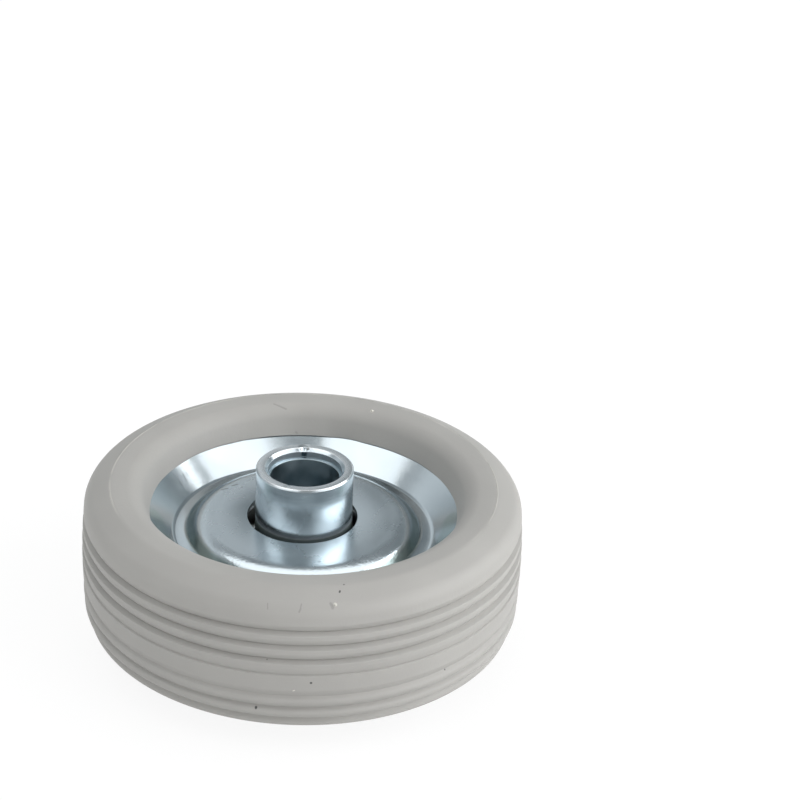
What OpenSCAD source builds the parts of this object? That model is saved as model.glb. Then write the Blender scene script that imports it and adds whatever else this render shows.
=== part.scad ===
// Conveyor skate wheel: a grey rubber tyre on two pressed steel shells that run on loose balls around
// a turned hub. The wheel turns about Z, and the origin is the middle of the hub.

/* [Tyre] */
// Outer diameter at the middle of the tread
tyre_d = 60; // [54:0.5:72]
// Width over the two sidewall crests
tyre_w = 20.6; // [18.6:0.1:24]
// Width of the tread between its shoulders
tread_w = 17.3; // [15.5:0.1:19]
// Radius lost between the middle of the tread and a shoulder
crown_drop = 0.55; // [0.2:0.05:1.2]
// Thickness of the rubber between the tread and the steel body
tread_t = 6; // [5:0.1:7]
// Radial distance from the tread to the sidewall crest
crest_in = 3.85; // [3:0.05:5]
// Radial width of the sidewall between its crest and its inner corner
sidewall_w = 3.85; // [2.6:0.05:4.4]
// Drop of the inner corner below the crest
mouth_drop = 0.25; // [0:0.05:0.8]
// Radial width of the steel cone that the rubber lip covers
lip_w = 3.2; // [2.4:0.05:4.2]
// Rounding of the inner corner of the sidewall
mouth_round = 2.6; // [0.4:0.1:2.8]
// Rounding of the sidewall crest
crest_round = 0.5; // [0.2:0.1:1.5]
// Rounding of the tread shoulder
shoulder_round = 0.5; // [0.2:0.1:0.5]

/* [Tread grooves] */
// Number of grooves on each side of the plain band
groove_count = 3; // [1:1:3]
// Plain width between the upper shoulder and the first sharp groove
sharp_edge = 2.8; // [1.6:0.1:3.6]
// Spacing of the sharp grooves
sharp_pitch = 2.05; // [1.6:0.05:2.4]
// Width of a sharp groove
sharp_w = 0.8; // [0.5:0.05:1]
// Depth of a sharp groove
sharp_depth = 0.5; // [0.2:0.05:0.7]
// Plain width between the rounding of the lower shoulder and the first soft groove
soft_edge = 0.19; // [0.15:0.01:1.2]
// Spacing of the soft grooves
soft_pitch = 1.85; // [1.4:0.05:2.4]
// Width of a soft groove
soft_w = 0.9; // [0.6:0.05:1]
// Depth of a soft groove
soft_depth = 0.3; // [0.1:0.05:0.4]

/* [Steel shells] */
// Thickness of the sheet
sheet_t = 0.9; // [0.7:0.05:1.2]
// Height over the two domes
dome_h = 10; // [9.4:0.1:11]
// Height over the two valleys around the domes
valley_h = 5.8; // [5:0.1:6.4]
// Height over the two rolled rims inside the tyre
rim_h = 14.62; // [13.6:0.02:16]
// Radial width of a valley floor
valley_w = 1.75; // [1.2:0.05:2.6]
// Radial width of the sloping wall of a dome
dome_wall_w = 2; // [1.4:0.05:2.6]
// Inside bend radius at the dome's corner
dome_bend = 1.5; // [0.8:0.1:1.8]
// Visible bend radius at the foot of the dome
foot_bend = 1; // [0.4:0.1:1.2]
// Visible bend radius at the foot of the cone
cone_bend = 0.8; // [0.3:0.1:1]
// Inside bend radius at the rim
rim_bend = 0.3; // [0.1:0.05:0.5]
// Radial gap between the hub and the hole in a dome
hub_gap = 1; // [0.5:0.02:1.2]

/* [Hub] */
// Length of the hub over its end faces
hub_l = 25.2; // [23:0.1:30]
// Outer diameter of the hub
hub_d = 13.2; // [12.8:0.1:15]
// Bore of the sleeve for the axle
bore_d = 9.4; // [8:0.1:9.6]
// Wall of the sleeve
sleeve_t = 0.3; // [0.2:0.05:0.8]
// Depth of each sleeve end below the end face of the hub
sleeve_recess = 1.4; // [0.4:0.05:2]
// Chamfer at each mouth of the sleeve
sleeve_chamfer = 0.1; // [0.05:0.05:0.15]
// Chamfer around the outside of an end face
nose_chamfer = 0.25; // [0.1:0.05:0.4]
// Chamfer around the inside of an end face
mouth_chamfer = 0.25; // [0.1:0.05:0.35]

/* [Ball bearing] */
// Diameter of a ball
ball_d = 3; // [2.6:0.05:3.4]
// Angle from the X axis at which the ring of balls starts
ball_start = 3; // [0:1:22]
// Least gap between neighbouring balls
ball_gap = 0.04; // [0.02:0.01:0.1]
// Depth of the ball groove in the hub and in the outer race
race_depth = 0.32; // [0.2:0.01:0.6]
// Radial clearance between a ball and its grooves
race_clear = 0.03; // [0.02:0.01:0.05]
// Wall of the outer race
race_t = 3.85; // [3:0.05:5]
// Edge left between the outer race and the bend of the dome
race_margin = 0.1; // [0:0.05:0.5]
// Chamfer on the outer corners of the outer race
race_chamfer = 0.4; // [0.2:0.1:0.8]

/* [Hidden] */
$fn = 96;
// Largest turn in one step of a rounded corner
arc_step = 12;

tyre_r = tyre_d / 2;
body_r = tyre_r - tread_t;
crest_r = tyre_r - crest_in;
crest_z = tyre_w / 2;
mouth_r = crest_r - sidewall_w;
lip_r = body_r - lip_w;
shoulder_z = tread_w / 2;
shoulder_r = tyre_r - crown_drop;
first_sharp_z = shoulder_z - sharp_edge - sharp_w / 2;
shoulder_turn = atan2(shoulder_r - crest_r, crest_z - shoulder_z);
shoulder_reach = shoulder_round * tan(shoulder_turn / 2);
first_soft_z = shoulder_reach + soft_edge + soft_w / 2 - shoulder_z;
last_groove = groove_count - 1;
plain_z = (first_sharp_z - last_groove * sharp_pitch + first_soft_z + last_groove * soft_pitch) / 2;

dome_z = dome_h / 2;
valley_z = valley_h / 2;
dome_round = dome_bend + sheet_t;
rim_round = rim_bend + sheet_t;
hub_r = hub_d / 2;
hole_r = hub_r + hub_gap;

nose_z = hub_l / 2;
bore_r = bore_d / 2;
sleeve_r = bore_r + sleeve_t;
sleeve_z = nose_z - sleeve_recess;

ball_r = ball_d / 2;
groove_r = ball_r + race_clear;
pitch_r = hub_r - race_depth + groove_r;
race_inner_r = pitch_r + groove_r - race_depth;
race_outer_r = race_inner_r + race_t;
race_z = dome_z - sheet_t;
// As many balls as the pitch circle holds
ball_count = floor(180 / asin((ball_d + ball_gap) / (2 * pitch_r)));

// The dome holds the outer race, and the cone joins the dome's valley to the rim inside the tyre
wall_angle = atan2(dome_z - valley_z, dome_wall_w);
dome_r = race_outer_r + race_margin + dome_round * tan(wall_angle / 2);
dome_foot_r = dome_r + dome_wall_w;
cone_foot_r = dome_foot_r + valley_w;
rim_run = body_r - rim_round - cone_foot_r;
rim_rise = rim_h / 2 - rim_round - valley_z;
cone_angle = atan2(rim_rise, rim_run) + asin(rim_round / norm([rim_run, rim_rise]));
lip_z = cone_z(lip_r);
// The bend at the foot of the cone ends where the rubber lip starts
cone_round = min(cone_bend, (lip_r - cone_foot_r) / tan(cone_angle / 2) / cos(cone_angle));

// Corners of a shell's visible face, from the hole to the middle of the rim
shell_corners = [
    [hole_r, dome_z],
    [dome_r, dome_z],
    [dome_foot_r, valley_z],
    [cone_foot_r, valley_z],
    [body_r, cone_z(body_r)],
    [body_r, 0]
];
shell_rounds = [dome_round, foot_bend, cone_round, rim_round];

function ball_name(i) = str("ball_", i < 10 ? "0" : "", i);
ball_names = [for (i = [1:ball_count]) ball_name(i)];

// Height of the cone's visible face at radius r
function cone_z(r) = valley_z + (r - cone_foot_r) * tan(cone_angle);

// Radius of the crown at height z
function crown_r(z) = tyre_r - crown_drop * pow(z / shoulder_z, 2);

function unit(v) = v / norm(v);
function left_of(v) = [-v.y, v.x];
function turned(v, a) = [v.x * cos(a) - v.y * sin(a), v.x * sin(a) + v.y * cos(a)];
function reversed(list) = [for (i = [len(list) - 1:-1:0]) list[i]];
function flipped(list) = [for (p = list) [p.x, -p.y]];

// Arc that rounds corner q between p and s, moved to the right of the path by shift
function corner_arc(p, q, s, radius, shift) =
    let (
        u = unit(q - p),
        v = unit(s - q),
        side = sign(cross(u, v)),
        turn = acos(u * v),
        centre = q + unit(v - u) * radius / cos(turn / 2),
        spoke = -side * (radius + side * shift) * left_of(u),
        steps = ceil(turn / arc_step)
    )
    [for (k = [0:steps]) centre + turned(spoke, side * turn * k / steps)];

// Path through the corners with its inner corners rounded, moved to the right by shift
function rounded_path(corners, rounds, shift = 0) =
    let (
        last = len(corners) - 1,
        first_way = unit(corners[1] - corners[0]),
        last_way = unit(corners[last] - corners[last - 1])
    )
    concat(
        [corners[0] - shift * left_of(first_way)],
        [for (i = [1:last - 1])
            each corner_arc(corners[i - 1], corners[i], corners[i + 1], rounds[i - 1], shift)],
        [corners[last] - shift * left_of(last_way)]
    );

// Three corners of a groove in the tread at height z, from its upper edge to its lower one
function groove(z, width, depth) = [
    [crown_r(z + width / 2), z + width / 2],
    [crown_r(z) - depth, z],
    [crown_r(z - width / 2), z - width / 2]
];

// Upper half of the tyre's free surface, from the lip to the tread shoulder
side_corners = [
    [lip_r, lip_z],
    [mouth_r, crest_z - mouth_drop],
    [crest_r, crest_z],
    [shoulder_r, shoulder_z]
];
side_rounds = [mouth_round, crest_round, shoulder_round];

// Tread from its upper shoulder to its lower one
tread_corners = concat(
    [for (i = [0:last_groove])
        each groove(first_sharp_z - i * sharp_pitch, sharp_w, sharp_depth)],
    [[tyre_r, plain_z]],
    [for (i = [last_groove:-1:0])
        each groove(first_soft_z + i * soft_pitch, soft_w, soft_depth)]
);
// Roundings of the two edges and the root of each kind of groove
sharp_rounds = [sharp_w / 2, sharp_w / 20, sharp_w / 2];
soft_rounds = [soft_w / 2, soft_w / 2, soft_w / 2];
tread_rounds = concat(
    [for (i = [1:groove_count]) each sharp_rounds],
    [crest_round],
    [for (i = [1:groove_count]) each soft_rounds]
);

// Seat of the tyre on a shell, from the lip over the rim to the middle
seat_path = rounded_path([[lip_r, lip_z], [body_r, cone_z(body_r)], [body_r, 0]], [rim_round]);

module tyre() {
    free_path = rounded_path(
        concat(side_corners, tread_corners, reversed(flipped(side_corners))),
        concat(side_rounds, tread_rounds, reversed(side_rounds))
    );
    color("darkgray")
        rotate_extrude()
            polygon(concat(free_path, flipped(seat_path), reversed(seat_path)));
}

module pressed_shell() {
    visible_face = rounded_path(shell_corners, shell_rounds);
    hidden_face = rounded_path(shell_corners, shell_rounds, sheet_t);
    color("lightsteelblue")
        rotate_extrude()
            polygon(concat(visible_face, reversed(hidden_face)));
}

module upper_shell() {
    pressed_shell();
}

module lower_shell() {
    mirror([0, 0, 1])
        pressed_shell();
}

module ball_groove() {
    rotate_extrude()
        translate([pitch_r, 0])
            circle(groove_r);
}

module outer_race() {
    color("slategray")
        difference() {
            rotate_extrude()
                polygon([
                    [race_inner_r, -race_z],
                    [race_outer_r - race_chamfer, -race_z],
                    [race_outer_r, race_chamfer - race_z],
                    [race_outer_r, race_z - race_chamfer],
                    [race_outer_r - race_chamfer, race_z],
                    [race_inner_r, race_z]
                ]);
            ball_groove();
        }
}

module turned_bush() {
    color("lightslategray")
        difference() {
            rotate_extrude()
                polygon([
                    [sleeve_r, 0],
                    [hub_r, 0],
                    [hub_r, nose_z - nose_chamfer],
                    [hub_r - nose_chamfer, nose_z],
                    [sleeve_r + mouth_chamfer, nose_z],
                    [sleeve_r, nose_z - mouth_chamfer]
                ]);
            ball_groove();
        }
}

module upper_bush() {
    turned_bush();
}

module lower_bush() {
    mirror([0, 0, 1])
        turned_bush();
}

module axle_sleeve() {
    color("slategray")
        rotate_extrude()
            polygon([
                [bore_r, sleeve_chamfer - sleeve_z],
                [bore_r + sleeve_chamfer, -sleeve_z],
                [sleeve_r, -sleeve_z],
                [sleeve_r, sleeve_z],
                [bore_r + sleeve_chamfer, sleeve_z],
                [bore_r, sleeve_z - sleeve_chamfer]
            ]);
}

module ball(i) {
    color("silver")
        rotate([0, 0, ball_start + i * 360 / ball_count])
            translate([pitch_r, 0, 0])
                sphere(ball_r);
}

tyre();
upper_shell();
lower_shell();
outer_race();
upper_bush();
lower_bush();
axle_sleeve();
for (i = [1:ball_count])
    ball(i);
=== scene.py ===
import math
import bmesh
import bpy
from mathutils import Matrix, Vector, noise


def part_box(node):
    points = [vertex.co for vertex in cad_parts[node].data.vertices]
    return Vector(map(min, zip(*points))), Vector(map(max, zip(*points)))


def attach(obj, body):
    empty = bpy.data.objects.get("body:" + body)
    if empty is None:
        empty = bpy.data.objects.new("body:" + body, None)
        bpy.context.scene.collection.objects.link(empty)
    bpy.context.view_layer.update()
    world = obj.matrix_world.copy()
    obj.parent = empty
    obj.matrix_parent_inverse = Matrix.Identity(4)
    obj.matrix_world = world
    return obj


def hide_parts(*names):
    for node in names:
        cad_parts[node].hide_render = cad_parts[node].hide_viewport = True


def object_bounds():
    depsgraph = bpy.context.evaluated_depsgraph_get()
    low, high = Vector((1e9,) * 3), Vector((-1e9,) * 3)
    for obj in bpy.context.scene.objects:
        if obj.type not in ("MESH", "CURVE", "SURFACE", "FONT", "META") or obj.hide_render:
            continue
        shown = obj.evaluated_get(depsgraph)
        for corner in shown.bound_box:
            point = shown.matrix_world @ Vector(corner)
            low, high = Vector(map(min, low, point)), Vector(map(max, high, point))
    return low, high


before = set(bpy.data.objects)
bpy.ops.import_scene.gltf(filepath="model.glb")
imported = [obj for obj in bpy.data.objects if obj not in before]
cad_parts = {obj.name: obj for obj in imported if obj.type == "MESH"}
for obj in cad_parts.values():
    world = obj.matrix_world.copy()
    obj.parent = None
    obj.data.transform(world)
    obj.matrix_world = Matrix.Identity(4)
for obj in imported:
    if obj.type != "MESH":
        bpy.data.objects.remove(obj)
cadBox = [list(corner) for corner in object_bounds()]
mm = 0.001
print("frame loaded,", len(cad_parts), "nodes")

# small helpers for shader nodes
cloudSpan = (0.3, 0.7)      # part of a noise that is stretched to the full range
markEdge = (0.25, 0.6)      # where a stroke fades, as shares of its width
dotEdge = (0.08, 0.2)       # where a dot of dirt fades, as shares of its cell


def feed(tree, socket, value):
    if isinstance(value, bpy.types.NodeSocket):
        tree.links.new(value, socket)
    else:
        socket.default_value = value


def calc(tree, operation, *values):
    node = tree.nodes.new("ShaderNodeMath")
    node.operation = operation
    for socket, value in zip(node.inputs, values):
        feed(tree, socket, value)
    return node.outputs["Value"]


def vectorCalc(tree, operation, first, second):
    node = tree.nodes.new("ShaderNodeVectorMath")
    node.operation = operation
    feed(tree, node.inputs[0], first)
    feed(tree, node.inputs[1], second)
    return node.outputs["Value" if operation in ("DISTANCE", "DOT_PRODUCT") else "Vector"]


def remap(tree, value, low, high, toLow=0.0, toHigh=1.0):
    node = tree.nodes.new("ShaderNodeMapRange")
    node.interpolation_type = "SMOOTHSTEP"
    feed(tree, node.inputs["Value"], value)
    for name, number in zip(("From Min", "From Max", "To Min", "To Max"), (low, high, toLow, toHigh)):
        feed(tree, node.inputs[name], number)
    return node.outputs["Result"]


def noiseAt(tree, vector, scale, detail=3.0):
    node = tree.nodes.new("ShaderNodeTexNoise")
    feed(tree, node.inputs["Vector"], vector)
    feed(tree, node.inputs["Scale"], scale)
    node.inputs["Detail"].default_value = detail
    return node.outputs["Fac"]


def tint(tree, factor, first, second):
    node = tree.nodes.new("ShaderNodeMix")
    node.data_type = "RGBA"
    feed(tree, node.inputs["Factor"], factor)
    for socket, value in ((node.inputs[6], first), (node.inputs[7], second)):
        feed(tree, socket, value if isinstance(value, bpy.types.NodeSocket) else (*value, 1.0))
    return node.outputs[2]


def objectPlace(tree):
    return tree.nodes.new("ShaderNodeTexCoord").outputs["Object"]


def axes(tree, place):
    node = tree.nodes.new("ShaderNodeSeparateXYZ")
    feed(tree, node.inputs[0], place)
    return node.outputs[:]


# distance from the axle
def axleRadius(tree, x, y):
    return calc(tree, "SQRT", calc(tree, "ADD", calc(tree, "MULTIPLY", x, x), calc(tree, "MULTIPLY", y, y)))


# mask of a ring that rises between the first two radii and falls between the last two
def ringMask(tree, radius, ring, strength):
    rise = remap(tree, radius, *ring[:2])
    return calc(tree, "MULTIPLY", rise, remap(tree, radius, *ring[2:], strength, 0.0))


def bumpNormal(tree, height, strength, distance):
    node = tree.nodes.new("ShaderNodeBump")
    node.inputs["Strength"].default_value = strength
    node.inputs["Distance"].default_value = distance
    feed(tree, node.inputs["Height"], height)
    return node.outputs["Normal"]


def newMaterial(name, metallic):
    material = bpy.data.materials.new(name)
    material.use_nodes = True
    surface = material.node_tree.nodes["Principled BSDF"].inputs
    surface["Metallic"].default_value = metallic
    return material, material.node_tree, surface


def startGroup(name, inputs, output):
    tree = bpy.data.node_groups.new(name, "ShaderNodeTree")
    for label, kind in inputs:
        tree.interface.new_socket(label, in_out="INPUT", socket_type="NodeSocket" + kind)
    tree.interface.new_socket(output, in_out="OUTPUT", socket_type="NodeSocketFloat")
    given = tree.nodes.new("NodeGroupInput").outputs
    result = tree.nodes.new("NodeGroupOutput").inputs[output]
    return tree, given, result


def useGroup(tree, group, **values):
    node = tree.nodes.new("ShaderNodeGroup")
    node.node_tree = group
    for name, value in values.items():
        feed(tree, node.inputs[name], value)
    return node.outputs[0]


# grain that runs along or across the turning direction, without a seam
def makeTurnedGrain():
    inputs = [("Vector", "Vector"), ("Around", "Float"), ("Across", "Float")]
    tree, given, result = startGroup("turnedGrain", inputs, "Grain")
    x, y, z = axes(tree, given["Vector"])
    radius = axleRadius(tree, x, y)
    joined = tree.nodes.new("ShaderNodeCombineXYZ")
    for socket, part in zip(joined.inputs, (x, y)):
        feed(tree, socket, calc(tree, "MULTIPLY", calc(tree, "DIVIDE", part, radius), given["Around"]))
    feed(tree, joined.inputs[2], calc(tree, "MULTIPLY", calc(tree, "ADD", radius, z), given["Across"]))
    feed(tree, result, noiseAt(tree, joined.outputs[0], 1.0))
    return tree


# soft stroke between two places, or a dot where they are the same
def makeMark():
    inputs = [("Vector", "Vector"), ("Start", "Vector"), ("End", "Vector"), ("Width", "Float")]
    tree, given, result = startGroup("mark", inputs, "Mask")
    along = vectorCalc(tree, "SUBTRACT", given["End"], given["Start"])
    offset = vectorCalc(tree, "SUBTRACT", given["Vector"], given["Start"])
    length = vectorCalc(tree, "DOT_PRODUCT", along, along)
    share = calc(tree, "DIVIDE", vectorCalc(tree, "DOT_PRODUCT", offset, along), length)
    share = calc(tree, "MINIMUM", calc(tree, "MAXIMUM", share, 0.0), 1.0)
    gap = vectorCalc(tree, "DISTANCE", offset, vectorCalc(tree, "MULTIPLY", along, share))
    inner, outer = [calc(tree, "MULTIPLY", given["Width"], edge) for edge in markEdge]
    feed(tree, result, remap(tree, gap, inner, outer, 1.0, 0.0))
    return tree


# scattered dots of dirt, share is how many of the cells have one
def makeDirt():
    inputs = [("Vector", "Vector"), ("Scale", "Float"), ("Share", "Float")]
    tree, given, result = startGroup("dirt", inputs, "Mask")
    cells = tree.nodes.new("ShaderNodeTexVoronoi")
    feed(tree, cells.inputs["Vector"], given["Vector"])
    feed(tree, cells.inputs["Scale"], given["Scale"])
    apart = tree.nodes.new("ShaderNodeSeparateColor")
    feed(tree, apart.inputs[0], cells.outputs["Color"])
    chosen = calc(tree, "LESS_THAN", apart.outputs[0], given["Share"])
    dot = remap(tree, cells.outputs["Distance"], *dotEdge, 1.0, 0.0)
    feed(tree, result, calc(tree, "MULTIPLY", dot, chosen))
    return tree


turnedGrain = makeTurnedGrain()
mark = makeMark()
dirt = makeDirt()


# mask of several strokes, each with its start, end and width in mm
def marksMask(tree, place, strokes, strength=1.0):
    mask = 0.0
    for start, end, width in strokes:
        ends = {"Start": Vector(start) * mm, "End": Vector(end) * mm}
        mask = calc(tree, "MAXIMUM", useGroup(tree, mark, Vector=place, Width=width * mm, **ends), mask)
    return calc(tree, "MULTIPLY", mask, strength)


# grey moulded rubber, scales are per metre
crestRadius = 26.15     # mm, top of the tyre's side, where the mould's line runs
rubber = {
    "light": (0.358, 0.349, 0.333),
    "dark": (0.342, 0.333, 0.318),
    "roughness": (0.52, 0.64),
    "blotchScale": 120.0,
    "blotchDetail": 4.0,
    "skinScale": 2600.0,
    "skinBump": (0.25, 0.05 * mm),          # strength and depth
    "speck": (0.06, 0.06, 0.06),
    "speckScale": 260.0,
    "speckShare": 0.012,
    "scratchStrength": 0.24,
    # pale tone of a real fleck, and of the painted highlights on the crest's line and on the two pips
    "paleFleckAndHighlight": (0.62, 0.60, 0.55),
    # the next four values shape the painted highlight on the crest's line
    "lineEdge": (0.06 * mm, 0.18 * mm),     # half widths of the mould's line
    "lineStrength": 0.3,
    "lineGaps": (0.35, 0.55),               # blotches that it shows in
    "lineEnd": (-16 * mm, -6 * mm),         # it fades in front
    "specks": [
        ((6.50, -25.37, 10.32), (6.50, -25.37, 10.32), 0.32),
        ((6.06, -26.35, 9.89), (6.02, -26.5, 9.81), 0.26),
        ((2.95, -29.83, -1.70), (2.95, -29.83, -1.70), 0.36),
        ((-3.94, -29.35, -6.11), (-3.94, -29.35, -6.28), 0.36),
        ((19.86, -21.98, -4.05), (19.86, -21.98, -4.05), 0.28),
        ((-2.65, -29.46, 1.34), (-2.65, -29.46, 1.34), 0.3)],
    "scratches": [
        ((1.43, -28.57, 9.13), (1.33, -28.95, 8.75), 0.2),
        ((1.36, -29.0, 8.7), (1.2, -29.26, 8.40), 0.26),
        ((-2.75, -28.6, 9.0), (-2.7, -29.1, 8.5), 0.18),
        ((5.0, -28.1, 9.1), (5.3, -28.55, 8.75), 0.42),
        ((-2.48, 20.92, 6.61), (-2.30, 20.92, 6.40), 0.40),
        ((-5.86, 22.75, 10.06), (-4.08, 22.24, 9.60), 0.34)],
    # painted highlight on the two pips (first and last entries), and one real pale fleck
    "flecksAndPipHighlights": [
        ((5.58, -28.18, 9.04), (5.58, -28.18, 9.04), 0.55),
        ((0.72, -29.92, -2.98), (0.9, -29.92, -2.88), 0.17),
        ((8.38, 22.02, 10.08), (8.38, 22.02, 10.08), 0.6)]}


# painted highlight: a pale line on the crest where the mould's raised line catches the light, broken up by
# the blotches
def mouldLineHighlight(tree, place, blotch):
    x, y = axes(tree, place)[:2]
    gap = calc(tree, "ABSOLUTE", calc(tree, "SUBTRACT", axleRadius(tree, x, y), crestRadius * mm))
    line = remap(tree, gap, *rubber["lineEdge"], rubber["lineStrength"], 0.0)
    line = calc(tree, "MULTIPLY", line, remap(tree, blotch, *rubber["lineGaps"]))
    return calc(tree, "MULTIPLY", line, remap(tree, y, *rubber["lineEnd"]))


def makeRubber():
    material, tree, surface = newMaterial("greyRubber", 0.0)
    place = objectPlace(tree)
    blotch = noiseAt(tree, place, rubber["blotchScale"], rubber["blotchDetail"])
    colour = tint(tree, remap(tree, blotch, *cloudSpan), rubber["dark"], rubber["light"])
    specks = useGroup(tree, dirt, Vector=place, Scale=rubber["speckScale"], Share=rubber["speckShare"])
    specks = calc(tree, "MAXIMUM", specks, marksMask(tree, place, rubber["specks"]))
    scratches = marksMask(tree, place, rubber["scratches"], rubber["scratchStrength"])
    colour = tint(tree, calc(tree, "MAXIMUM", specks, scratches), colour, rubber["speck"])
    # painted highlight on the pips, with one real pale fleck
    flecksAndPipHighlights = marksMask(tree, place, rubber["flecksAndPipHighlights"])
    paleFleckAndHighlight = calc(tree, "MAXIMUM", mouldLineHighlight(tree, place, blotch), flecksAndPipHighlights)
    feed(tree, surface["Base Color"], tint(tree, paleFleckAndHighlight, colour, rubber["paleFleckAndHighlight"]))
    feed(tree, surface["Roughness"], remap(tree, blotch, *cloudSpan, *rubber["roughness"]))
    skin = noiseAt(tree, place, rubber["skinScale"])
    feed(tree, surface["Normal"], bumpNormal(tree, skin, *rubber["skinBump"]))
    return material


# bright zinc on pressed sheet, rings are given by four radii
zincSheet = {
    "light": (0.69, 0.76, 0.80),
    "dark": (0.62, 0.69, 0.73),
    "roughness": (0.14, 0.2),
    "satin": 0.1,                           # added roughness of the dome's flat
    "satinEdge": (13.0 * mm, 15.0 * mm),
    "cloudScale": 160.0,
    "cloudDetail": 5.0,
    "peelScale": 900.0,
    "peelDetail": 2.0,
    "peelBump": (1.0, 0.004 * mm),          # strength and depth
    "speckleScale": 2800.0,
    "speckleDepth": 7.0,
    "speckleRing": (11.8 * mm, 12.8 * mm, 14.6 * mm, 15.6 * mm),    # where the sheet was drawn round
    # painted reflection: a ring of dark dots on the dome's shoulder stands in for the dark reflected stripe
    # there
    "darkReflectionDotScale": 2400.0,
    "darkReflectionDotShare": 0.5,
    "darkReflectionStrength": 0.7,
    "darkReflectionRing": (12.7 * mm, 13.1 * mm, 13.7 * mm, 14.3 * mm),
    # painted shade: green-grey darkening in the valley between the dome and the cone
    "valleyShade": (0.22, 0.29, 0.28),
    "valleyShadeStrength": 0.85,
    "valleyShadeRing": (14.5 * mm, 15.1 * mm, 15.7 * mm, 16.3 * mm),
    "green": (0.42, 0.57, 0.54),
    "greenStrength": 0.45,
    "greenPlaces": [
        ((-19.9, -2.2, 5.0), (-18.4, -6.2, 4.2), 3.2),
        ((20.0, 0.6, 5.0), (18.9, -4.6, 4.4), 3.2)],
    # tone of the real scuffs, and of the painted dark reflection dots
    "scuffAndReflectionTone": (0.30, 0.33, 0.34),
    "scuffStrength": 0.75,
    "scuffs": [
        ((-17.6, 9.6, 5.1), (-17.0, 9.0, 4.4), 0.24),
        ((-17.2, 10.2, 5.1), (-16.4, 9.7, 4.3), 0.16),
        ((-18.2, 8.4, 5.0), (-17.6, 7.8, 4.3), 0.2),
        ((-11.75, 5.95, 5.0), (-11.0, 6.4, 5.0), 0.34),
        ((-10.45, 7.15, 5.0), (-9.75, 7.65, 5.0), 0.3),
        ((-9.05, 6.96, 5.0), (-9.05, 6.96, 5.0), 0.3),
        ((2.6, -11.6, 5.0), (2.9, -11.7, 5.0), 0.2)]}


def makeZincSheet():
    material, tree, surface = newMaterial("zincSheet", 1.0)
    place = objectPlace(tree)
    x, y = axes(tree, place)[:2]
    radius = axleRadius(tree, x, y)
    cloud = noiseAt(tree, place, zincSheet["cloudScale"], zincSheet["cloudDetail"])
    colour = tint(tree, remap(tree, cloud, *cloudSpan), zincSheet["dark"], zincSheet["light"])
    green = marksMask(tree, place, zincSheet["greenPlaces"], zincSheet["greenStrength"])
    colour = tint(tree, green, colour, zincSheet["green"])
    scuffs = marksMask(tree, place, zincSheet["scuffs"], zincSheet["scuffStrength"])
    colour = tint(tree, scuffs, colour, zincSheet["scuffAndReflectionTone"])
    # painted shade in the valley between the dome and the cone
    valleyShade = ringMask(tree, radius, zincSheet["valleyShadeRing"], zincSheet["valleyShadeStrength"])
    colour = tint(tree, valleyShade, colour, zincSheet["valleyShade"])
    # painted reflection: dark dots on the shoulder
    darkReflectionDots = useGroup(tree, dirt, Vector=place, Scale=zincSheet["darkReflectionDotScale"], Share=zincSheet["darkReflectionDotShare"])
    darkReflectionMask = ringMask(tree, radius, zincSheet["darkReflectionRing"], zincSheet["darkReflectionStrength"])
    darkReflectionDots = calc(tree, "MULTIPLY", darkReflectionDots, darkReflectionMask)
    feed(tree, surface["Base Color"], tint(tree, darkReflectionDots, colour, zincSheet["scuffAndReflectionTone"]))
    satin = remap(tree, radius, *zincSheet["satinEdge"], zincSheet["satin"], 0.0)
    gloss = remap(tree, cloud, *cloudSpan, *zincSheet["roughness"])
    feed(tree, surface["Roughness"], calc(tree, "ADD", satin, gloss))
    peel = noiseAt(tree, place, zincSheet["peelScale"], zincSheet["peelDetail"])
    speckle = noiseAt(tree, place, zincSheet["speckleScale"], zincSheet["peelDetail"])
    drawn = ringMask(tree, radius, zincSheet["speckleRing"], zincSheet["speckleDepth"])
    height = calc(tree, "MULTIPLY_ADD", speckle, drawn, peel)
    feed(tree, surface["Normal"], bumpNormal(tree, height, *zincSheet["peelBump"]))
    return material


# lines left by turning, on the hub and on the plain steels
grainAround = 2.0
grainBump = (0.1, 0.02 * mm)        # strength and depth

# turned and zinc plated hub
zincTurned = {
    "light": (0.67, 0.74, 0.785),
    "dark": (0.58, 0.65, 0.695),
    "cloudScale": 300.0,
    "cloudDetail": 4.0,
    "lines": 5200.0,
    "roughness": (0.13, 0.2),
    "sideShadeTone": (0.36, 0.41, 0.44),         # painted shade: the outer face is painted darker than the ends, and it is rougher
    "sideShadeStrength": 0.3,
    "sideDull": 0.04,                       # added roughness, as in the other dull values
    "sideStart": (6.4 * mm, 6.5 * mm),
    "endLightTone": (0.88, 0.90, 0.91),          # painted light: and the end faces are painted lighter
    "endLightStrength": 0.72,
    "endDull": 0.1,
    "endStart": (12.4 * mm, 12.55 * mm),
    "boreDull": 0.25,
    "boreEdge": (5.0 * mm, 5.1 * mm),
    # painted shade: a dark, non-metal band on the hub down in the gap under the shells' holes
    "gapShade": (0.105, 0.132, 0.132),
    "gapShadeTop": (4.9 * mm, 5.25 * mm),
    "filmDull": 0.35,
    "filmTop": (5.0 * mm, 6.1 * mm),        # a dull film reaches a little higher
    # dark dirt and painted shade in the nicks at the bore's mouth
    "nickDirtAndShade": (0.07, 0.065, 0.06),
    "nickDirtAndShadeStrength": 0.8,
    "nickDirtAndShadeMarks": [
        ((-0.85, 5.2, 12.5), (0.1, 5.25, 12.5), 0.46),
        ((-1.8, -4.9, 12.4), (-1.7, -4.95, 12.3), 0.26)]}


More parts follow.
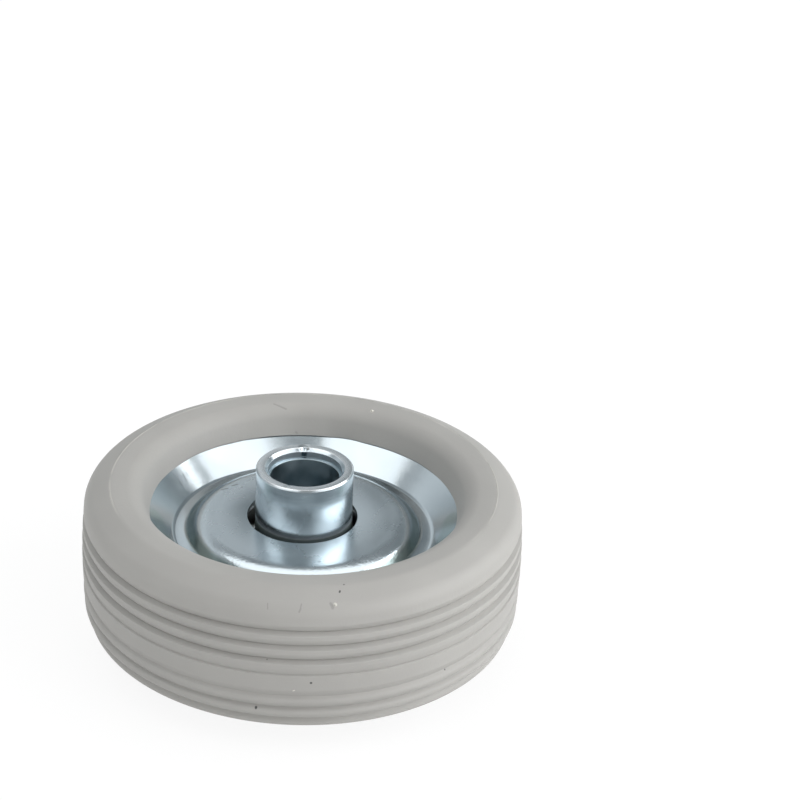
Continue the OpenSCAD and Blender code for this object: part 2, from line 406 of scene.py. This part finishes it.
def makeZincTurned():
    material, tree, surface = newMaterial("zincTurned", 1.0)
    place = objectPlace(tree)
    x, y, z = axes(tree, place)
    radius = axleRadius(tree, x, y)
    height = calc(tree, "ABSOLUTE", z)
    side = remap(tree, radius, *zincTurned["sideStart"])
    bore = remap(tree, radius, *zincTurned["boreEdge"], 1.0, 0.0)
    end = remap(tree, height, *zincTurned["endStart"])
    gapShade = remap(tree, height, *zincTurned["gapShadeTop"], 1.0, 0.0)
    film = remap(tree, height, *zincTurned["filmTop"], 1.0, 0.0)
    cloud = noiseAt(tree, place, zincTurned["cloudScale"], zincTurned["cloudDetail"])
    colour = tint(tree, remap(tree, cloud, *cloudSpan), zincTurned["dark"], zincTurned["light"])
    # painted shade on the outer face and painted light on the end faces
    sideShadeShare = calc(tree, "MULTIPLY", side, zincTurned["sideShadeStrength"])
    colour = tint(tree, sideShadeShare, colour, zincTurned["sideShadeTone"])
    endLightShare = calc(tree, "MULTIPLY", end, zincTurned["endLightStrength"])
    colour = tint(tree, endLightShare, colour, zincTurned["endLightTone"])
    # dirt and painted shade in the nicks
    nickDirtAndShadeMarks = marksMask(tree, place, zincTurned["nickDirtAndShadeMarks"], zincTurned["nickDirtAndShadeStrength"])
    colour = tint(tree, nickDirtAndShadeMarks, colour, zincTurned["nickDirtAndShade"])
    # painted shade in the gap, which also makes the band non-metal
    feed(tree, surface["Base Color"], tint(tree, gapShade, colour, zincTurned["gapShade"]))
    feed(tree, surface["Metallic"], calc(tree, "SUBTRACT", 1.0, gapShade))
    lines = useGroup(tree, turnedGrain, Vector=place, Around=grainAround, Across=zincTurned["lines"])
    rough = remap(tree, lines, *cloudSpan, *zincTurned["roughness"])
    for mask, dull in ((side, "sideDull"), (bore, "boreDull"), (end, "endDull"), (film, "filmDull")):
        rough = calc(tree, "MULTIPLY_ADD", mask, zincTurned[dull], rough)
    feed(tree, surface["Roughness"], rough)
    feed(tree, surface["Normal"], bumpNormal(tree, lines, *grainBump))
    return material


# plain steels inside the bearing; the sleeve and the race are painted darker, as painted shade in the bore
# and in the gap
steel = {
    "cloudScale": 400.0,
    "cloudDetail": 4.0,
    # light tone, dark tone, roughness and turned lines
    "sleeveSteel": ((0.42, 0.50, 0.54), (0.36, 0.44, 0.48), (0.3, 0.52), 3000.0),
    "raceSteel": ((0.46, 0.48, 0.47), (0.34, 0.36, 0.35), (0.3375, 0.585), 3000.0),
    "ballSteel": ((0.90, 0.91, 0.91), (0.80, 0.81, 0.81), (0.15, 0.26), 200.0)}


def makeSteel(name):
    light, dark, roughness, lines = steel[name]
    material, tree, surface = newMaterial(name, 1.0)
    place = objectPlace(tree)
    cloud = noiseAt(tree, place, steel["cloudScale"], steel["cloudDetail"])
    feed(tree, surface["Base Color"], tint(tree, remap(tree, cloud, *cloudSpan), dark, light))
    feed(tree, surface["Roughness"], remap(tree, cloud, *cloudSpan, *roughness))
    grain = useGroup(tree, turnedGrain, Vector=place, Around=grainAround, Across=lines)
    feed(tree, surface["Normal"], bumpNormal(tree, grain, *grainBump))
    return material


greyRubber = makeRubber()
brightSheet = makeZincSheet()
brightTurned = makeZincTurned()
sleeveSteel = makeSteel("sleeveSteel")
raceSteel = makeSteel("raceSteel")
ballSteel = makeSteel("ballSteel")
print("materials made")

# turned profiles
whole = "whole"                 # rounding that takes up both sides of a corner
wholeReach = 0.97               # as a share of the shorter side
arcStep = 9.0                   # degrees for each segment of a rounding
mergeGap = 0.0005 * mm
sharpAngle = math.radians(38)


# corners are (radius, height, rounding) in mm, the profile lies in the XZ plane
def drawProfile(bm, corners, closed):
    verts = [bm.verts.new((r * mm, 0.0, z * mm)) for r, z, rounding in corners]
    for first, second in zip(verts, verts[1:]):
        bm.edges.new((first, second))
    if closed:
        bm.edges.new((verts[-1], verts[0]))
    cuts = []
    for i, (r, z, rounding) in enumerate(corners):
        if rounding:
            back = verts[i - 1].co - verts[i].co
            ahead = verts[(i + 1) % len(verts)].co - verts[i].co
            turn = math.pi - back.angle(ahead)
            reach = wholeReach * min(back.length, ahead.length)
            if rounding != whole:
                reach = rounding * mm * math.tan(turn / 2)
            cuts.append((verts[i], reach, max(2, math.ceil(math.degrees(turn) / arcStep))))
    for vert, reach, segments in cuts:
        bmesh.ops.bevel(bm, geom=[vert], offset=reach, offset_type="OFFSET", segments=segments, profile=0.5,
                        affect="VERTICES", clamp_overlap=False, material=-1)


def turnProfile(corners, steps, closed=True):
    bm = bmesh.new()
    drawProfile(bm, corners, closed)
    bmesh.ops.spin(bm, geom=bm.verts[:] + bm.edges[:], cent=(0, 0, 0), axis=(0, 0, 1),
                   angle=math.tau, steps=steps, use_merge=True)
    bmesh.ops.remove_doubles(bm, verts=bm.verts, dist=mergeGap)
    bmesh.ops.recalc_face_normals(bm, faces=bm.faces)
    return bm


# the same corners on the lower side, in the order that goes on round the profile
def below(corners):
    return [(r, -z, rounding) for r, z, rounding in reversed(corners)]


def turnOver(bm):
    bmesh.ops.scale(bm, vec=(1, 1, -1), verts=bm.verts)
    bmesh.ops.reverse_faces(bm, faces=bm.faces)


def addPiece(name, bm, material, body, node):
    mesh = bpy.data.meshes.new(name)
    bm.to_mesh(mesh)
    bm.free()
    mesh.materials.append(material)
    mesh.shade_smooth()
    mesh.set_sharp_from_angle(angle=sharpAngle)
    piece = bpy.data.objects.new(name, mesh)
    bpy.context.scene.collection.objects.link(piece)
    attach(piece, body)
    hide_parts(node)


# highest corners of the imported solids, which the pieces keep to
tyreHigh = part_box("tyre")[1]
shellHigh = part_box("upper_shell")[1]
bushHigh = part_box("upper_bush")[1]
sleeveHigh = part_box("axle_sleeve")[1]
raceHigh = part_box("outer_race")[1]

# edge of the steel body that the tyre sits on, in mm
rim = {"radius": shellHigh.x / mm, "top": 8.94, "round": 1.2}

# tyre, all in mm, sharp ribs on the upper half of the tread and soft ones on the lower half
tyre = {
    "radius": tyreHigh.x / mm,
    "crest": (crestRadius, tyreHigh.z / mm),
    "crestRound": 1.6,
    "mouth": (22.3, 10.05),
    "mouthRound": 2.6,
    "lip": (20.83, 6.06),           # edge of the rubber, a little above the steel
    "lipRound": 0.1,
    "lipWave": (0.14, 0.25, 0.6),   # most, waves per mm and reach
    "seat": (21.15, 6.19),          # where the rubber meets the steel behind its edge
    "shoulder": (29.5, 8.75),
    "shoulderRound": 2.2,
    "lowShoulder": (29.45, -8.65),
    "lowShoulderRound": 0.5,
    "crownDrop": 0.55,
    "sharpCreases": (5.45, 3.4, 1.35),
    "sharpDepth": 0.65,
    "edgeDrop": (0.38, 0.1),        # from a crease down to the edge of the rib below it, and its rounding
    "bendLift": (1.0, 0.5),         # from a crease up to where the rib above it turns in, and its rounding
    "footLift": (0.3, 0.38, 0.3),   # from a crease up to the rib's foot, how far it lies in, its rounding
    "seam": (-0.65, 0.24),          # height and depth of the faint crease at the mould's joint
    "softBend": (0.9, 1.2),         # from the first soft crease up to the bend above it, and its rounding
    "softCreases": (-4.0, -5.85, -7.7),
    "softDepths": (0.42, 0.55, 0.72),
    "softRoot": 0.15,
    "arcShare": 0.414,              # height of a whole rounding as a share of its corner's height
    "pips": [((5.58, -28.2, 9.02), 0.21), ((8.38, 22.02, 10.1), 0.2)],     # place and radius
    "steps": 288}


def crownRadius(z):
    return tyre["radius"] - tyre["crownDrop"] * (z / tyre["shoulder"][1]) ** 2


# convex rib between two soft creases
def ribCorner(upper, lower, depth):
    middle = (upper + lower) / 2
    return (crownRadius(middle) + depth * (1 / tyre["arcShare"] - 1), middle, whole)


def creaseCorner(z, depth, rounding=0.0):
    return (crownRadius(z) - depth, z, rounding)


# face that turns in above a sharp crease, the crease and the edge below it
def sharpCrease(z, depth):
    share = depth / tyre["sharpDepth"]
    bend, bendRound = tyre["bendLift"]
    foot, footIn, footRound = tyre["footLift"]
    edge, edgeRound = tyre["edgeDrop"]
    return [creaseCorner(z + bend, 0.0, bendRound),
            creaseCorner(z + foot, share * footIn, footRound),
            creaseCorner(z, depth),
            creaseCorner(z - share * edge, 0.0, edgeRound)]


def sideCorners():
    return [(*tyre["seat"], 0.0),
            (*tyre["lip"], tyre["lipRound"]),
            (*tyre["mouth"], tyre["mouthRound"]),
            (*tyre["crest"], tyre["crestRound"])]


def treadCorners():
    corners = [(*tyre["shoulder"], tyre["shoulderRound"])]
    for z in tyre["sharpCreases"]:
        corners += sharpCrease(z, tyre["sharpDepth"])
    corners += sharpCrease(*tyre["seam"])
    soft, depths = tyre["softCreases"], tyre["softDepths"]
    bend, bendRound = tyre["softBend"]
    corners.append(creaseCorner(soft[0] + bend, 0.0, bendRound))
    for upper, lower, upperDepth, lowerDepth in zip(soft, soft[1:], depths, depths[1:]):
        corners += [creaseCorner(upper, upperDepth, tyre["softRoot"]),
                    ribCorner(upper, lower, (upperDepth + lowerDepth) / 2)]
    corners.append(creaseCorner(soft[-1], depths[-1], tyre["softRoot"]))
    corners.append((*tyre["lowShoulder"], tyre["lowShoulderRound"]))
    return corners


# edge of the lip moved in and out along the cone
def waveLip(bm):
    most, waves, reach = tyre["lipWave"]
    lipR, lipZ = tyre["lip"]
    for vert in bm.verts:
        radius = vert.co.xy.length
        share = 1 - math.hypot(radius / mm - lipR, abs(vert.co.z) / mm - lipZ) / reach
        if share > 0:
            shift = most * mm * share * noise.noise(vert.co / mm * waves)
            vert.co.xy *= 1 + shift / radius
            vert.co.z += math.copysign(shift, vert.co.z)


# raised line of the mould on the crest, all in mm
flash = {
    "half": 0.13,           # half width
    "inFoot": 0.12,         # how far its feet lie below the crest
    "outFoot": 0.16,
    "rise": 0.04,
    "round": 0.05,
    "sink": 0.11,           # most that it sinks in where it fades
    "front": -12.0,         # it fades in front of this place
    "frontOver": 6.0,
    "waves": 0.4}           # and elsewhere in waves, per mm


def addFlash(bm):
    crestR, crestZ = tyre["crest"]
    ring = turnProfile([
        (crestR - flash["half"], crestZ - flash["inFoot"], 0.0),
        (crestR, crestZ + flash["rise"], flash["round"]),
        (crestR + flash["half"], crestZ - flash["outFoot"], 0.0)], tyre["steps"])
    for vert in ring.verts:
        fade = 0.5 - 0.5 * math.tanh((vert.co.y / mm - flash["front"]) / flash["frontOver"])
        fade += abs(noise.noise(vert.co.xy.to_3d() / mm * flash["waves"]))
        vert.co.z -= flash["sink"] * mm * min(1.0, fade)
    mesh = bpy.data.meshes.new("crestFlash")
    ring.to_mesh(mesh)
    ring.free()
    bm.from_mesh(mesh)
    bpy.data.meshes.remove(mesh)


def makeTyre():
    side = sideCorners()
    seat = [(rim["radius"], -rim["top"], rim["round"]), (rim["radius"], rim["top"], rim["round"])]
    bm = turnProfile(side + treadCorners() + below(side) + seat, tyre["steps"])
    waveLip(bm)
    addFlash(bm)
    for place, size in tyre["pips"]:
        spread = Matrix.Translation(Vector(place) * mm) @ Matrix.Scale(size * mm, 4)
        bmesh.ops.create_icosphere(bm, subdivisions=3, radius=1.0, matrix=spread)
    addPiece("rubberTyre", bm, greyRubber, "wheel", "tyre")


# pressed shells, all in mm
shell = {
    "sheet": 0.9,
    "hole": 7.5,
    "holeRound": 0.1,
    "holeNear": 0.01,               # what lies this near to the hole's edge is rounded
    "holeSlip": (-0.2, 0.2, 0.0),   # the upper hole is punched a little off the middle
    "slipReach": 0.5,
    "domeTop": 5.0,
    "dome": 14.0,
    "domeRound": 2.4,
    "domeFoot": 16.0,
    "footRound": 1.0,
    "valley": 2.9,
    "coneFoot": 17.75,
    "coneRound": 0.8,
    "steps": 256}


def nearHole(vert, reach):
    return vert.co.xy.length < (shell["hole"] + reach) * mm


def makeShell(name, node, upper):
    bm = turnProfile([
        (shell["hole"], shell["domeTop"], 0.0),
        (shell["dome"], shell["domeTop"], shell["domeRound"]),
        (shell["domeFoot"], shell["valley"], shell["footRound"]),
        (shell["coneFoot"], shell["valley"], shell["coneRound"]),
        (rim["radius"], rim["top"], rim["round"]),
        (rim["radius"], 0.0, 0.0)], shell["steps"], closed=False)
    if bm.faces[0].normal.z < 0:
        bmesh.ops.reverse_faces(bm, faces=bm.faces)
    bmesh.ops.solidify(bm, geom=bm.faces, thickness=shell["sheet"] * mm)
    near = shell["holeNear"]
    lowest = (shell["domeTop"] - near) * mm
    holeEdges = [edge for edge in bm.edges
                 if all(nearHole(vert, near) and vert.co.z > lowest for vert in edge.verts)]
    bmesh.ops.bevel(bm, geom=holeEdges, offset=shell["holeRound"] * mm, offset_type="OFFSET", segments=4,
                    profile=0.5, affect="EDGES", clamp_overlap=True, material=-1)
    if upper:
        around = [vert for vert in bm.verts if nearHole(vert, shell["slipReach"])]
        bmesh.ops.translate(bm, verts=around, vec=Vector(shell["holeSlip"]) * mm)
    else:
        turnOver(bm)
    addPiece(name, bm, brightSheet, "wheel", node)


# ball groove, its own radius and the one that the balls run on, in mm
groove = {"round": 1.53, "pitch": 7.81}


# corner of the tangents to the groove's arc, and the arc's upper end
def grooveArc(edgeRadius):
    side = 1 if edgeRadius > groove["pitch"] else -1
    across = abs(edgeRadius - groove["pitch"])
    height = math.sqrt(groove["round"] ** 2 - across ** 2)
    turn = math.atan2(height, across)
    root = groove["pitch"] + side * groove["round"]
    return (root, groove["round"] * math.tan(turn / 2), groove["round"]), (edgeRadius, height, 0.0)


# turned bushes with half of the ball groove each, all in mm
bush = {
    "radius": bushHigh.x / mm,
    "nose": bushHigh.z / mm,
    "noseChamfer": 0.25,
    "noseRound": 0.08,
    "bore": sleeveHigh.x / mm,
    "mouthChamfer": 0.45,
    "mouthRound": 0.06,
    # small dents in the mouth's edge, with their place, reach and push
    "nicks": [
        ((-0.45, 5.2, 12.5), 0.75, (0.05, 0.3, -0.22)),
        ((-1.75, -4.95, 12.5), 0.45, (-0.05, -0.16, -0.12))],
    "steps": 192}


def nickEdge(bm):
    for place, reach, push in bush["nicks"]:
        for vert in bm.verts:
            share = 1 - (vert.co / mm - Vector(place)).length / reach
            if share > 0:
                vert.co += Vector(push) * mm * share * share * (3 - 2 * share)


def makeBush(name, node, upper):
    arcCorner, arcEnd = grooveArc(bush["radius"])
    bm = turnProfile([
        (bush["bore"], 0.0, 0.0),
        (arcCorner[0], 0.0, 0.0),
        arcCorner,
        arcEnd,
        (bush["radius"], bush["nose"] - bush["noseChamfer"], bush["noseRound"]),
        (bush["radius"] - bush["noseChamfer"], bush["nose"], bush["noseRound"]),
        (bush["bore"] + bush["mouthChamfer"], bush["nose"], bush["mouthRound"]),
        (bush["bore"], bush["nose"] - bush["mouthChamfer"], 0.0)], bush["steps"])
    if upper:
        nickEdge(bm)
    else:
        turnOver(bm)
    addPiece(name, bm, brightTurned, "hub", node)


# thin tube in the hub, in mm
sleeve = {"bore": 4.7, "chamfer": 0.1, "chamferRound": 0.05, "steps": 160}


def makeSleeve():
    top = sleeveHigh.z / mm
    half = [(sleeve["bore"], top - sleeve["chamfer"], 0.0),
            (sleeve["bore"] + sleeve["chamfer"], top, sleeve["chamferRound"]),
            (sleeveHigh.x / mm, top, 0.0)]
    bm = turnProfile(half + below(half), sleeve["steps"])
    addPiece("axleSleeve", bm, sleeveSteel, "hub", "axle_sleeve")


# ring that the balls run in, in mm
race = {"inner": 9.02, "chamfer": 0.4, "steps": 160}


def makeRace():
    outer = raceHigh.x / mm
    top = raceHigh.z / mm
    half = [*grooveArc(race["inner"]),
            (race["inner"], top, 0.0),
            (outer - race["chamfer"], top, 0.0),
            (outer, top - race["chamfer"], 0.0)]
    bm = turnProfile(half + below(half), race["steps"])
    addPiece("outerRace", bm, raceSteel, "wheel", "outer_race")


ball = {"around": 48, "rings": 32}


def makeBalls():
    for node in sorted(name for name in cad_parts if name.startswith("ball_")):
        low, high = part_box(node)
        bm = bmesh.new()
        bmesh.ops.create_uvsphere(bm, u_segments=ball["around"], v_segments=ball["rings"],
                                  radius=(high.z - low.z) / 2)
        bmesh.ops.translate(bm, verts=bm.verts, vec=(low + high) / 2)
        addPiece("bearingBall" + node[-2:], bm, ballSteel, "ball_set", node)


makeTyre()
makeShell("upperShell", "upper_shell", True)
makeShell("lowerShell", "lower_shell", False)
makeBush("upperBush", "upper_bush", True)
makeBush("lowerBush", "lower_bush", False)
makeSleeve()
makeRace()
makeBalls()
print("pieces made")

# white paper under the wheel, size in m
paper = {
    "size": 6.0,
    "colour": (0.8, 0.8, 0.8),
    "roughness": 0.9,
    "whiteShare": 0.86,     # share of plain white that the eye and mirrors see
    "white": 1.04}


# plain white to the eye and to mirrors, with the object's shadow kept
def makePaper():
    material, tree, surface = newMaterial("paper", 0.0)
    surface["Base Color"].default_value = (*paper["colour"], 1.0)
    surface["Roughness"].default_value = paper["roughness"]
    surface["Specular IOR Level"].default_value = 0.0
    rays = tree.nodes.new("ShaderNodeLightPath").outputs
    seen = calc(tree, "MAXIMUM", rays["Is Camera Ray"], rays["Is Glossy Ray"])
    seen = calc(tree, "MAXIMUM", seen, rays["Is Transmission Ray"])
    white = tree.nodes.new("ShaderNodeEmission")
    white.inputs["Strength"].default_value = paper["white"]
    blend = tree.nodes.new("ShaderNodeMixShader")
    feed(tree, blend.inputs[0], calc(tree, "MULTIPLY", seen, paper["whiteShare"]))
    feed(tree, blend.inputs[1], tree.nodes["Principled BSDF"].outputs[0])
    feed(tree, blend.inputs[2], white.outputs[0])
    feed(tree, tree.nodes["Material Output"].inputs["Surface"], blend.outputs[0])
    return material


def makeFloor():
    bm = bmesh.new()
    bmesh.ops.create_grid(bm, x_segments=1, y_segments=1, size=paper["size"] / 2)
    bmesh.ops.translate(bm, verts=bm.verts, vec=(0, 0, cadBox[0][2]))
    mesh = bpy.data.meshes.new("paperFloor")
    bm.to_mesh(mesh)
    bm.free()
    mesh.materials.append(makePaper())
    floor = bpy.data.objects.new("paperFloor", mesh)
    bpy.context.scene.collection.objects.link(floor)


# room that is light low in front, grey behind the wheel and lighter up to the left
room = {
    "front": (1.42, 1.42, 1.4),         # low in front of the wheel and beside it
    "upper": (0.28, 0.295, 0.30),
    "backLeft": (0.31, 0.35, 0.37),     # low behind it
    "backRight": (0.50, 0.56, 0.58),
    "upperLeft": (0.68, 0.71, 0.73),
    "upperRight": (0.17, 0.19, 0.2),
    "zenith": (0.25, 0.27, 0.28),
    # where one tone goes over into the next, by the direction's x, z, z, z and y
    "leftToRight": (-0.07, 0.0),
    "upperToZenith": (0.52, 0.74),
    "backToUpper": (0.15, 0.55),
    "frontToUpper": (0.05, 0.4),
    "frontToBack": (-0.1, 0.3)}


def makeRoom():
    world = bpy.data.worlds.new("studio")
    world.use_nodes = True
    bpy.context.scene.world = world
    tree = world.node_tree
    x, y, z = axes(tree, tree.nodes.new("ShaderNodeTexCoord").outputs["Generated"])
    toRight = remap(tree, x, *room["leftToRight"])
    low = tint(tree, toRight, room["backLeft"], room["backRight"])
    high = tint(tree, toRight, room["upperLeft"], room["upperRight"])
    high = tint(tree, remap(tree, z, *room["upperToZenith"]), high, room["zenith"])
    back = tint(tree, remap(tree, z, *room["backToUpper"]), low, high)
    front = tint(tree, remap(tree, z, *room["frontToUpper"]), room["front"], room["upper"])
    colour = tint(tree, remap(tree, y, *room["frontToBack"]), front, back)
    feed(tree, tree.nodes["Background"].inputs["Color"], colour)


# soft lamps, each with its place, width and height in m, and its radiance
lamps = {
    "overhead": ((0.125, -0.004, 0.92), 2.15, 0.585, 1.14),
    "overheadLeft": ((-0.535, -0.424, 0.857), 0.83, 0.265, 1.14),
    "overheadRight": ((0.77, -0.424, 0.857), 0.86, 0.265, 1.14),
    "rightKey": ((0.8, -0.085, 0.32), 0.98, 0.64, 3.4),
    "rightFront": ((0.555, -0.638, 0.31), 0.42, 0.5, 1.5),
    "leftFill": ((-0.8, -0.36, 0.3), 0.6, 0.4, 1.4),
    "backFill": ((-0.2, 0.95, 0.85), 1.2, 0.6, 1.8)}
overheadUp = (0.0, -0.15, 1.0)      # the overhead panels face away from this, the other lamps face the wheel
mattLamp = "backFill"               # mirrors don't show it


def makeLamp(name, place, width, height, radiance):
    data = bpy.data.lights.new(name, "AREA")
    data.shape = "RECTANGLE"
    data.size = width
    data.size_y = height
    data.energy = radiance * math.pi * width * height
    lamp = bpy.data.objects.new(name, data)
    lamp.location = place
    away = overheadUp if name.startswith("overhead") else place
    lamp.rotation_euler = Vector(away).to_track_quat("Z", "Y").to_euler()
    lamp.visible_camera = False
    lamp.visible_glossy = name != mattLamp
    bpy.context.scene.collection.objects.link(lamp)


# camera at the photograph's angle, place in m, turns in degrees, lens and sensor in mm
view = {
    "place": (0.012348, -0.24847, 0.15116),
    "tilt": 62.79,
    "roll": 2.808,
    "lens": 94.925,
    "sensor": 36.0}


def makeCamera():
    data = bpy.data.cameras.new("camera")
    data.sensor_width = view["sensor"]
    data.lens = view["lens"]
    camera = bpy.data.objects.new("camera", data)
    camera.location = view["place"]
    tilt = Matrix.Rotation(math.radians(view["tilt"]), 4, "X")
    roll = Matrix.Rotation(math.radians(view["roll"]), 4, "Z")
    camera.rotation_euler = (tilt @ roll).to_euler()
    bpy.context.scene.collection.objects.link(camera)
    bpy.context.scene.camera = camera


makeFloor()
makeRoom()
for lampName, lampFacts in lamps.items():
    makeLamp(lampName, *lampFacts)
makeCamera()
bpy.context.scene.view_settings.view_transform = "Standard"
print("studio made")
